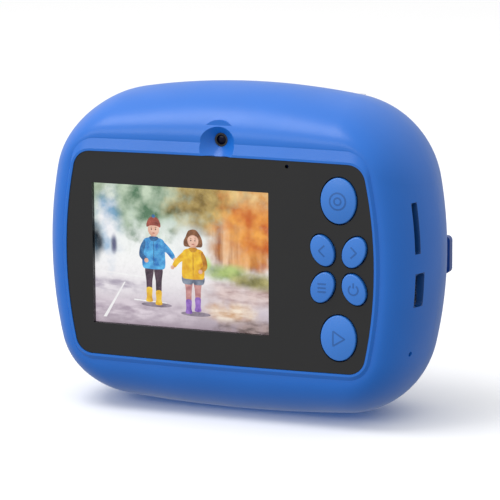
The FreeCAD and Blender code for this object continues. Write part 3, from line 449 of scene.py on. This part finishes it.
def picture_paint(name):
    """A display pixel's own light: dark and a little glossy where it is off."""
    paint = Paint(name, Roughness=0.25, Emission_Strength=GLOW)
    paint.into("Base Color", UNLIT)
    moved = paint.vector("SUBTRACT", paint.place, (WINDOW_LOW.x, 0, WINDOW_LOW.z))
    paint.spot = paint.vector("SCALE", moved)
    paint.spot.node.inputs["Scale"].default_value = 1 / SCREEN_HEIGHT
    return paint


def two_tone(name, dark, light):
    """A colour in the picture, uneven as cloth is."""
    paint = picture_paint(name)
    tone = paint.noise(CLOTH_SCALE, 3.0, place=paint.spot)
    color = paint.ramp(tone, [(0.32, srgb(*dark)), (0.66, srgb(*light))])
    paint.into("Emission Color", color)
    return paint.material


def soft_spot(paint, u, v, half_width, half_height, soft, ragged):
    """A mask that is 1 in an oval and fades out over soft, with a ragged edge."""
    offset = paint.vector("SUBTRACT", paint.spot, (u, 0, v))
    reach = paint.vector("LENGTH", paint.vector("DIVIDE", offset, (half_width, 1, half_height)))
    drift = paint.math("SUBTRACT", paint.noise(9, 4.0, place=paint.spot), 0.5)
    edge = paint.math("ADD", reach, paint.math("MULTIPLY", drift, ragged))
    return paint.spread(edge, 1 - soft, 1 + soft, 1.0, 0.0, smooth=True)


def scenery():
    """A park path in autumn, out of focus: sky, foliage, trunks, grass and wet paving."""
    paint = picture_paint("picture_scenery")
    height = paint.split(paint.spot)["Z"]
    color = paint.ramp(height, [
        (0.0, srgb(166, 150, 164)), (0.14, srgb(214, 202, 212)), (0.30, srgb(244, 240, 244)),
        (0.46, srgb(255, 255, 255)), (0.62, srgb(250, 254, 252)), (0.80, srgb(196, 216, 200)),
        (1.0, srgb(150, 168, 138)),
    ])
    leaves = paint.noise(7, 5.0, place=paint.spot)
    trunks = paint.noise(15, 3.0, (1, 1, 0.10), place=paint.spot)
    paving = paint.noise(8, 5.0, (1, 1, 3), place=paint.spot)
    layers = [
        ((0.34, 0.94, 0.42, 0.30), 0.35, 1.6, leaves, (84, 124, 92), (204, 222, 196)),
        ((0.10, 0.70, 0.10, 0.26), 0.60, 1.2, leaves, (130, 176, 214), (250, 250, 255)),
        ((0.88, 0.92, 0.34, 0.26), 0.35, 1.2, leaves, (116, 92, 30), (214, 186, 112)),
        ((1.12, 0.60, 0.30, 0.24), 0.25, 0.6, trunks, (150, 84, 46), (244, 200, 158)),
        ((1.24, 0.76, 0.30, 0.30), 0.40, 1.2, leaves, (206, 96, 16), (250, 172, 72)),
        ((1.26, 0.97, 0.22, 0.10), 0.60, 1.0, leaves, (226, 150, 62), (255, 224, 160)),
        ((1.20, 0.27, 0.42, 0.10), 0.50, 1.0, paving, (176, 142, 140), (230, 208, 204)),
        ((1.00, 0.415, 0.20, 0.060), 0.40, 0.8, leaves, (96, 134, 56), (190, 210, 128)),
        ((1.24, 0.365, 0.22, 0.065), 0.40, 0.8, leaves, (120, 116, 62), (196, 186, 118)),
        ((0.74, 0.58, 0.11, 0.13), 0.50, 1.0, leaves, (214, 222, 226), (255, 255, 252)),
        ((0.84, 0.47, 0.05, 0.05), 0.50, 1.0, leaves, (176, 222, 110), (214, 242, 160)),
        ((1.04, 0.13, 0.22, 0.07), 0.50, 1.2, paving, (214, 170, 132), (254, 238, 218)),
        ((1.20, 0.03, 0.26, 0.06), 0.45, 1.4, paving, (92, 74, 72), (178, 156, 154)),
        ((0.12, 0.27, 0.28, 0.055), 0.60, 1.4, paving, (176, 166, 184), (240, 234, 240)),
        ((0.25, 0.10, 0.50, 0.08), 0.60, 1.2, paving, (176, 160, 176), (228, 216, 226)),
        ((0.015, 0.58, 0.060, 0.14), 0.40, 0.8, leaves, (14, 30, 42), (70, 92, 108)),
        ((0.15, 0.57, 0.026, 0.07), 0.40, 0.6, leaves, (52, 54, 92), (116, 120, 156)),
    ]
    for (u, v, half_width, half_height), soft, ragged, pattern, dark, light in layers:
        mask = soft_spot(paint, u, v, half_width, half_height, soft, ragged)
        tone = paint.ramp(pattern, [(0.36, srgb(*dark)), (0.62, srgb(*light))])
        color = paint.mix(mask, color, tone)
    paint.into("Emission Color", color)
    return paint.material


PICTURE_COLORS = {
    "jacket": ((20, 104, 186), (92, 190, 244)),
    "jacket_shade": ((26, 76, 128), (62, 130, 186)),
    "trousers": ((44, 30, 46), (92, 66, 84)),
    "boots_yellow": ((222, 160, 12), (255, 216, 72)),
    "coat": ((222, 152, 8), (255, 212, 48)),
    "coat_shade": ((176, 108, 12), (220, 160, 40)),
    "denim": ((72, 84, 108), (150, 160, 178)),
    "tights": ((168, 104, 108), (220, 164, 158)),
    "boots_purple": ((104, 58, 156), (172, 128, 216)),
    "skin": ((222, 164, 138), (246, 204, 182)),
    "hat": ((118, 48, 40), (178, 88, 72)),
    "hair": ((96, 56, 32), (158, 104, 66)),
    "feature": ((74, 44, 36), (104, 62, 52)),
    "lips": ((168, 76, 72), (196, 100, 92)),
    "line": ((246, 244, 246), (255, 255, 255)),
    "shadow": ((120, 108, 124), (158, 146, 160)),
}


def child(u, v, size, hat, coat, sleeve, legwear, boots, stride):
    """Flat shapes of a child who walks towards the viewer.

    size is the child's height and (u, v) the feet. With a stride of 1 the foot on the left is up
    and the other child is on the right, and with 0 both are the other way round.
    """
    def at(points):
        return [(u + x * size, v + z * size) for x, z in points]

    def part(color, points):
        return color, smooth_outline(at(points))

    def dot(color, x, z, half_width, half_height):
        return color, oval(u + x * size, v + z * size, half_width * size, half_height * size)

    lift = STEP_LIFT * stride
    shapes = [("shadow", oval(u + 0.03 * size, v - 0.005 * size, 0.19 * size, 0.028 * size))]
    for side, rise in ((-1, lift), (1, STEP_LIFT - lift)):
        hip = 0.055 * side
        knee = 0.058 * side
        shapes.append(part(legwear, [
            (hip - 0.050, 0.42), (hip + 0.050, 0.42), (knee + 0.038, 0.27), (knee + 0.027, 0.10 + rise),
            (knee - 0.027, 0.10 + rise), (knee - 0.038, 0.27),
        ]))
        shapes.append(part(boots, [
            (knee - 0.034, 0.155 + rise), (knee + 0.034, 0.155 + rise), (knee + 0.033, 0.06 + rise),
            (knee + 0.042, 0.005 + rise), (knee, -0.008 + rise), (knee - 0.042, 0.005 + rise),
            (knee - 0.033, 0.06 + rise),
        ]))
    if not hat:
        shapes.append(part("denim", [
            (-0.12, 0.46), (0.12, 0.46), (0.13, 0.355), (0.03, 0.34), (0, 0.36), (-0.03, 0.34),
            (-0.13, 0.355),
        ]))
        shapes.append(part("hair", [
            (-0.094, 0.90), (-0.055, 0.975), (0.03, 0.99), (0.094, 0.92), (0.118, 0.85), (0.112, 0.795),
            (0.06, 0.785), (-0.06, 0.785), (-0.112, 0.795), (-0.118, 0.85),
        ]))
    shapes.append(dot("skin", 0, 0.775, 0.034, 0.035))
    shapes.append(part(coat, [
        (-0.06, 0.765), (0.06, 0.765), (0.130, 0.725), (0.138, 0.60), (0.138, 0.43), (0.06, 0.405),
        (-0.06, 0.405), (-0.138, 0.43), (-0.138, 0.60), (-0.130, 0.725),
    ]))
    shapes.append((sleeve, oval(u, v + 0.585 * size, 0.006 * size, 0.155 * size)))
    shapes.append(part(sleeve, [(-0.05, 0.775), (0.05, 0.775), (0.035, 0.735), (0, 0.722), (-0.035, 0.735)]))
    towards = stride * 2 - 1
    shapes.append(part(sleeve, [
        (-0.115 * towards, 0.735), (-0.165 * towards, 0.66), (-0.178 * towards, 0.55),
        (-0.120 * towards, 0.495), (-0.085 * towards, 0.525), (-0.125 * towards, 0.58),
        (-0.10 * towards, 0.68),
    ]))
    shapes.append(dot("skin", -0.092 * towards, 0.50, 0.026, 0.026))
    shapes.append(part(coat, [
        (0.10 * towards, 0.735), (0.165 * towards, 0.69), (0.245 * towards, 0.60), (0.262 * towards, 0.545),
        (0.225 * towards, 0.532), (0.17 * towards, 0.59), (0.115 * towards, 0.635),
    ]))
    shapes.append(dot("skin", 0.262 * towards, 0.53, 0.024, 0.024))
    shapes.append(dot("skin", 0, 0.862, 0.070, 0.082))
    if hat:
        shapes.append(part("hat", [
            (-0.082, 0.885), (-0.084, 0.93), (-0.05, 0.99), (0, 1.005), (0.05, 0.99), (0.084, 0.93),
            (0.082, 0.885), (0.04, 0.902), (-0.04, 0.902),
        ]))
        shapes.append(dot("jacket_shade", 0, 1.012, 0.022, 0.020))
    else:
        shapes.append(part("hair", [
            (-0.078, 0.86), (-0.07, 0.945), (0, 0.985), (0.07, 0.945), (0.078, 0.86),
            (0.052, 0.905), (0, 0.925), (-0.052, 0.905),
        ]))
    for side in (-1, 1):
        shapes.append(dot("feature", 0.026 * side, 0.862, 0.0075, 0.0095))
        shapes.append(dot("hair", 0.027 * side, 0.884, 0.012, 0.0035))
    shapes.append(dot("lips", 0, 0.818, 0.018, 0.0055))
    return shapes


def path_lines():
    """Worn paint on the paving."""
    return [
        ("line", [(0.06, 0.04), (0.085, 0.04), (0.235, 0.30), (0.225, 0.30)]),
        ("line", [(0.02, 0.375), (0.02, 0.365), (0.42, 0.335), (0.42, 0.345)]),
        ("line", [(0.30, 0.185), (0.30, 0.175), (0.55, 0.165), (0.55, 0.172)]),
    ]


def make_picture():
    """One mesh of flat shapes, each a hair nearer to the window than the one before."""
    names = list(PICTURE_COLORS)
    shapes = [(None, [(0, 0), (SCREEN_SHARE, 0), (SCREEN_SHARE, 1), (0, 1)])]
    shapes += path_lines()
    shapes += child(0.455, 0.155, 0.62, True, "jacket", "jacket_shade", "trousers", "boots_yellow", 1)
    shapes += child(0.755, 0.110, 0.60, False, "coat", "coat_shade", "tights", "boots_purple", 0)
    mesh = bpy.data.meshes.new("screen_picture")
    build = bmesh.new()
    for level, (color, outline) in enumerate(shapes):
        y = PICTURE_Y - level * LAYER_STEP
        points = [
            build.verts.new((WINDOW_LOW.x + u * SCREEN_HEIGHT, y, WINDOW_LOW.z + v * SCREEN_HEIGHT))
            for u, v in outline
        ]
        face = build.faces.new(points)
        face.normal_update()
        if face.normal.y > 0:
            face.normal_flip()
        face.material_index = 0 if color is None else names.index(color) + 1
    bmesh.ops.triangulate(build, faces=build.faces)
    build.to_mesh(mesh)
    build.free()
    mesh.materials.append(scenery())
    for name in names:
        mesh.materials.append(two_tone("picture_" + name, *PICTURE_COLORS[name]))
    add_piece("screen_picture", mesh, "casing")


make_picture()


# ---------------------------------------------------------------- symbols on the keys

CROWN_RADIUS = 22 * MM
SYMBOL_WIDTH = 0.42 * MM
SYMBOL_PROUD = 0.03 * MM
SYMBOL_SUNK = 0.12 * MM
ARC_STEPS = 24
STROKE_STEP = 0.3


def arc(radius, first, last):
    """Points of an arc about the key's middle, in millimetres and degrees from the right."""
    points = []
    for step in range(ARC_STEPS + 1):
        angle = math.radians(first + (last - first) * step / ARC_STEPS)
        points.append((radius * math.cos(angle), radius * math.sin(angle)))
    return points


def finer(points):
    """The same line with points no further apart than a stroke's step."""
    line = [points[0]]
    for start, end in zip(points, points[1:]):
        count = max(1, math.ceil(math.dist(start, end) / STROKE_STEP))
        for index in range(1, count + 1):
            line.append(tuple(a + (b - a) * index / count for a, b in zip(start, end)))
    return line


# The lines of each symbol, in millimetres from the key's middle.
SYMBOLS = {
    "shutter": [arc(2.1, 0, 360), arc(0.9, 0, 360)],
    "playback": [[(-1.2, 1.9), (1.9, 0), (-1.2, -1.9), (-1.2, 1.9)]],
    "left": [[(0.7, 1.4), (-0.8, 0), (0.7, -1.4)]],
    "right": [[(-0.7, 1.4), (0.8, 0), (-0.7, -1.4)]],
    "menu": [[(-1.1, height), (1.1, height)] for height in (1.0, 0, -1.0)],
    "power": [arc(1.25, 125, 415), [(0, 0.5), (0, 1.8)]],
}


def make_symbol(key, lines, material):
    """Raised strokes that follow the crown of a key's cap."""
    low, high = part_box(key + "_button")
    centre = (low + high) / 2
    build = bmesh.new()

    def on_crown(x, z, proud):
        fall = CROWN_RADIUS - math.sqrt(CROWN_RADIUS ** 2 - x ** 2 - z ** 2)
        return build.verts.new((centre.x + x, low.y + fall - proud, centre.z + z))

    for line in lines:
        points = finer(line)
        rows = []
        for index, (x, z) in enumerate(points):
            before = points[max(index - 1, 0)]
            after = points[min(index + 1, len(points) - 1)]
            along = Vector((after[0] - before[0], after[1] - before[1])).normalized()
            side = Vector((-along.y, along.x)) * SYMBOL_WIDTH / 2
            left = (x * MM + side.x, z * MM + side.y)
            right = (x * MM - side.x, z * MM - side.y)
            rows.append([
                on_crown(*left, -SYMBOL_SUNK), on_crown(*left, SYMBOL_PROUD),
                on_crown(*right, SYMBOL_PROUD), on_crown(*right, -SYMBOL_SUNK),
            ])
        skin(build, rows)
    mesh = finished_mesh(build, key + "_symbol")
    mesh.materials.append(material)
    add_piece(key + "_symbol", mesh, key + "_key")


def make_symbols():
    material = moulded("key_symbol", scaled(KEY_BLUE, 0.62), 0.4, 0.004)
    for key in KEYS:
        make_symbol(key, SYMBOLS[key], material)


make_symbols()


# ---------------------------------------------------------------- paper and front lens

PAPER_HALF_WIDTH = 28.4 * MM
PAPER_THICK = 0.07 * MM
ROLL_DEGREES = (175, 165, 155, 145, 138)
RUN_SHARES = (0.2, 0.4, 0.6, 0.8, 0.92)
RUN_SAG = 0.8 * MM
RISE_ABOVE_PLATEN = 4 * MM
RISE_ABOVE_TEAR_BAR = 3 * MM
LENS_RADIUS = 2.35 * MM
LENS_DEPTH = 0.58 * MM
LENS_DOME = 0.55 * MM
DOME_STEPS = 8
LATHE_STEPS = 64


def make_paper_strip():
    """Paper that leaves the back of the roll, passes in front of the platen and ends in the slot."""
    roll_low, roll_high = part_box("paper_roll")
    radius = (roll_high.z - roll_low.z) / 2 + PAPER_THICK
    platen = middle("platen_roller")
    platen_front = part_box("platen_roller")[1].y + PAPER_THICK
    route = []
    for degrees in ROLL_DEGREES:
        angle = math.radians(degrees)
        route.append((ROLL_MIDDLE.y + radius * math.cos(angle), ROLL_MIDDLE.z + radius * math.sin(angle)))
    start = route[-1]
    nip = (platen_front, platen.z)
    for share in RUN_SHARES:
        sag = RUN_SAG * math.sin(math.pi * share)
        route.append((start[0] + (nip[0] - start[0]) * share - sag, start[1] + (nip[1] - start[1]) * share))
    route.append(nip)
    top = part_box("tear_bar")[1].z
    for z in (platen.z + RISE_ABOVE_PLATEN, top, top + RISE_ABOVE_TEAR_BAR):
        route.append((platen_front, z))
    build = bmesh.new()
    rows = []
    for index, (y, z) in enumerate(route):
        before = Vector(route[max(index - 1, 0)])
        along = (Vector(route[min(index + 1, len(route) - 1)]) - before).normalized()
        half = Vector((-along.y, along.x)) * PAPER_THICK / 2
        rows.append([build.verts.new(corner) for corner in (
            (-PAPER_HALF_WIDTH, y + half.x, z + half.y), (PAPER_HALF_WIDTH, y + half.x, z + half.y),
            (PAPER_HALF_WIDTH, y - half.x, z - half.y), (-PAPER_HALF_WIDTH, y - half.x, z - half.y),
        )])
    skin(build, rows)
    mesh = finished_mesh(build, "paper_strip")
    paint = Paint("loose_paper", Specular_IOR_Level=0.3)
    fibres = paint.noise(1500, 4.0, (1, 0.4, 0.4))
    paint.into("Base Color", paint.ramp(fibres, [(0.3, srgb(238, 238, 232)), (0.7, srgb(250, 250, 247))]))
    paint.gloss(fibres, 0.45, 0.6)
    mesh.materials.append(paint.material)
    add_piece("paper_strip", mesh, "casing")


def lathe_y(name, profile, centre):
    """A mesh turned about a line along Y: profile is radius and Y, ending on the axis."""
    build = bmesh.new()
    rings = []
    for radius, y in profile:
        if radius == 0:
            rings.append([build.verts.new((centre.x, y, centre.z))])
            continue
        angles = (2 * math.pi * step / LATHE_STEPS for step in range(LATHE_STEPS))
        rings.append([
            build.verts.new((centre.x + radius * math.cos(a), y, centre.z + radius * math.sin(a)))
            for a in angles
        ])
    for inner, outer in zip(rings, rings[1:]):
        for step in range(LATHE_STEPS):
            after = (step + 1) % LATHE_STEPS
            if len(outer) == 1:
                build.faces.new((inner[step], inner[after], outer[0]))
            elif len(inner) == 1:
                build.faces.new((inner[0], outer[after], outer[step]))
            else:
                build.faces.new((inner[step], inner[after], outer[after], outer[step]))
    mesh = finished_mesh(build, name)
    for face in mesh.polygons:
        face.use_smooth = True
    return mesh


def make_front_lens():
    """A domed glass element in the mouth of the front camera's barrel."""
    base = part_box("front_camera_module")[1].y - LENS_DEPTH
    profile = [(0, base), (LENS_RADIUS, base)]
    for step in range(1, DOME_STEPS):
        angle = math.pi / 2 * step / DOME_STEPS
        profile.append((LENS_RADIUS * math.cos(angle), base + LENS_DOME * math.sin(angle)))
    profile.append((0, base + LENS_DOME))
    mesh = lathe_y("front_lens_element", profile, middle("front_camera_module"))
    mesh.materials.append(MATERIALS["lens_glass"])
    add_piece("front_lens_element", mesh, "casing")


make_paper_strip()
make_front_lens()


# ---------------------------------------------------------------- camera

CAMERA_YAW = 0.404
CAMERA_RISE = 0.184
CAMERA_ROLL = 0.0075
CAMERA_DISTANCE = 0.715
CAMERA_LENS = 202.95
AIM_RIGHT = 0.01171
AIM_UP = 0.00401
SENSOR_WIDTH = 36
NEAREST = 0.01
FURTHEST = 50


def make_camera():
    """A long lens, to the right of and a little above the screen's normal."""
    right = Vector((math.cos(CAMERA_YAW), math.sin(CAMERA_YAW), 0))
    ahead = Vector((
        -math.sin(CAMERA_YAW) * math.cos(CAMERA_RISE),
        math.cos(CAMERA_YAW) * math.cos(CAMERA_RISE),
        -math.sin(CAMERA_RISE),
    ))
    up = right.cross(ahead)
    place = PLATE_CENTRE - ahead * CAMERA_DISTANCE
    rolled_right = right * math.cos(CAMERA_ROLL) - up * math.sin(CAMERA_ROLL)
    rolled_up = right * math.sin(CAMERA_ROLL) + up * math.cos(CAMERA_ROLL)
    aim = ahead + rolled_right * math.tan(AIM_RIGHT) + rolled_up * math.tan(AIM_UP)
    aim.normalize()
    side = aim.cross(rolled_up).normalized()
    top = side.cross(aim)
    data = bpy.data.cameras.new("camera")
    data.sensor_width = SENSOR_WIDTH
    data.lens = CAMERA_LENS
    data.clip_start = NEAREST
    data.clip_end = FURTHEST
    camera = bpy.data.objects.new("camera", data)
    bpy.context.scene.collection.objects.link(camera)
    turn = Matrix((side, top, -aim)).transposed()
    camera.matrix_world = Matrix.Translation(place) @ turn.to_4x4()
    bpy.context.scene.camera = camera


# ---------------------------------------------------------------- light and floor

KEY_LIGHT_PLACE = (-0.35, -0.25, 0.9)
# Name, place, width and height, and power in watts.
LIGHTS = [
    ("key", KEY_LIGHT_PLACE, 0.5, 0.5, 3.6),
    ("front_softbox", (-0.39, -0.81, 0.48), 0.8, 0.25, 1.7),
]
LIGHT_TARGET = (0, 0, 0.04)
ROOM_BRIGHT_SIDE = Vector(KEY_LIGHT_PLACE)
# The way from the dimmest side to the brightest, as a share, and the light there.
ROOM_LEVELS = [(0.0, 0.32), (0.34, 0.51), (0.56, 0.68), (0.75, 0.86), (1.0, 1.0)]
ROOM_STRENGTH = 1.15
FLOOR_SIZE = 8


def make_light(name, place, width, height, power):
    data = bpy.data.lights.new(name, "AREA")
    data.shape = "RECTANGLE"
    data.size = width
    data.size_y = height
    data.energy = power
    light = bpy.data.objects.new(name, data)
    bpy.context.scene.collection.objects.link(light)
    light.location = place
    light.rotation_euler = (Vector(LIGHT_TARGET) - Vector(place)).to_track_quat("-Z", "Y").to_euler()


def make_world():
    """A white room, brightest overhead and a little to the left, and dim below."""
    world = bpy.data.worlds.new("studio")
    bpy.context.scene.world = world
    world.use_nodes = True
    nodes = world.node_tree.nodes
    links = world.node_tree.links
    towards = nodes.new("ShaderNodeVectorMath")
    towards.operation = "DOT_PRODUCT"
    towards.inputs[1].default_value = ROOM_BRIGHT_SIDE.normalized()
    links.new(nodes.new("ShaderNodeTexCoord").outputs["Generated"], towards.inputs[0])
    share = nodes.new("ShaderNodeMapRange")
    share.inputs["From Min"].default_value = -1
    share.inputs["From Max"].default_value = 1
    links.new(towards.outputs["Value"], share.inputs["Value"])
    ramp = nodes.new("ShaderNodeValToRGB")
    elements = ramp.color_ramp.elements
    while len(elements) < len(ROOM_LEVELS):
        elements.new(0.5)
    for element, (position, level) in zip(elements, ROOM_LEVELS):
        element.position = position
        element.color = (level, level, level, 1)
    links.new(share.outputs[0], ramp.inputs[0])
    background = nodes["Background"]
    links.new(ramp.outputs["Color"], background.inputs["Color"])
    background.inputs["Strength"].default_value = ROOM_STRENGTH


def make_floor():
    """A pale floor, left out of bounced and mirrored light."""
    bpy.ops.mesh.primitive_plane_add(size=FLOOR_SIZE, location=(0, 0, 0))
    floor = bpy.context.object
    floor.name = "floor"
    paint = Paint("floor", Roughness=0.8, Specular_IOR_Level=0.1)
    paint.into("Base Color", paint.ramp(
        paint.noise(3, 2.0), [(0.3, (0.92, 0.92, 0.92, 1)), (0.7, (0.94, 0.94, 0.94, 1))],
    ))
    floor.data.materials.append(paint.material)
    floor.visible_diffuse = False
    floor.visible_glossy = False


make_camera()
make_world()
make_floor()
for light_settings in LIGHTS:
    make_light(*light_settings)
bpy.context.scene.view_settings.view_transform = "Standard"
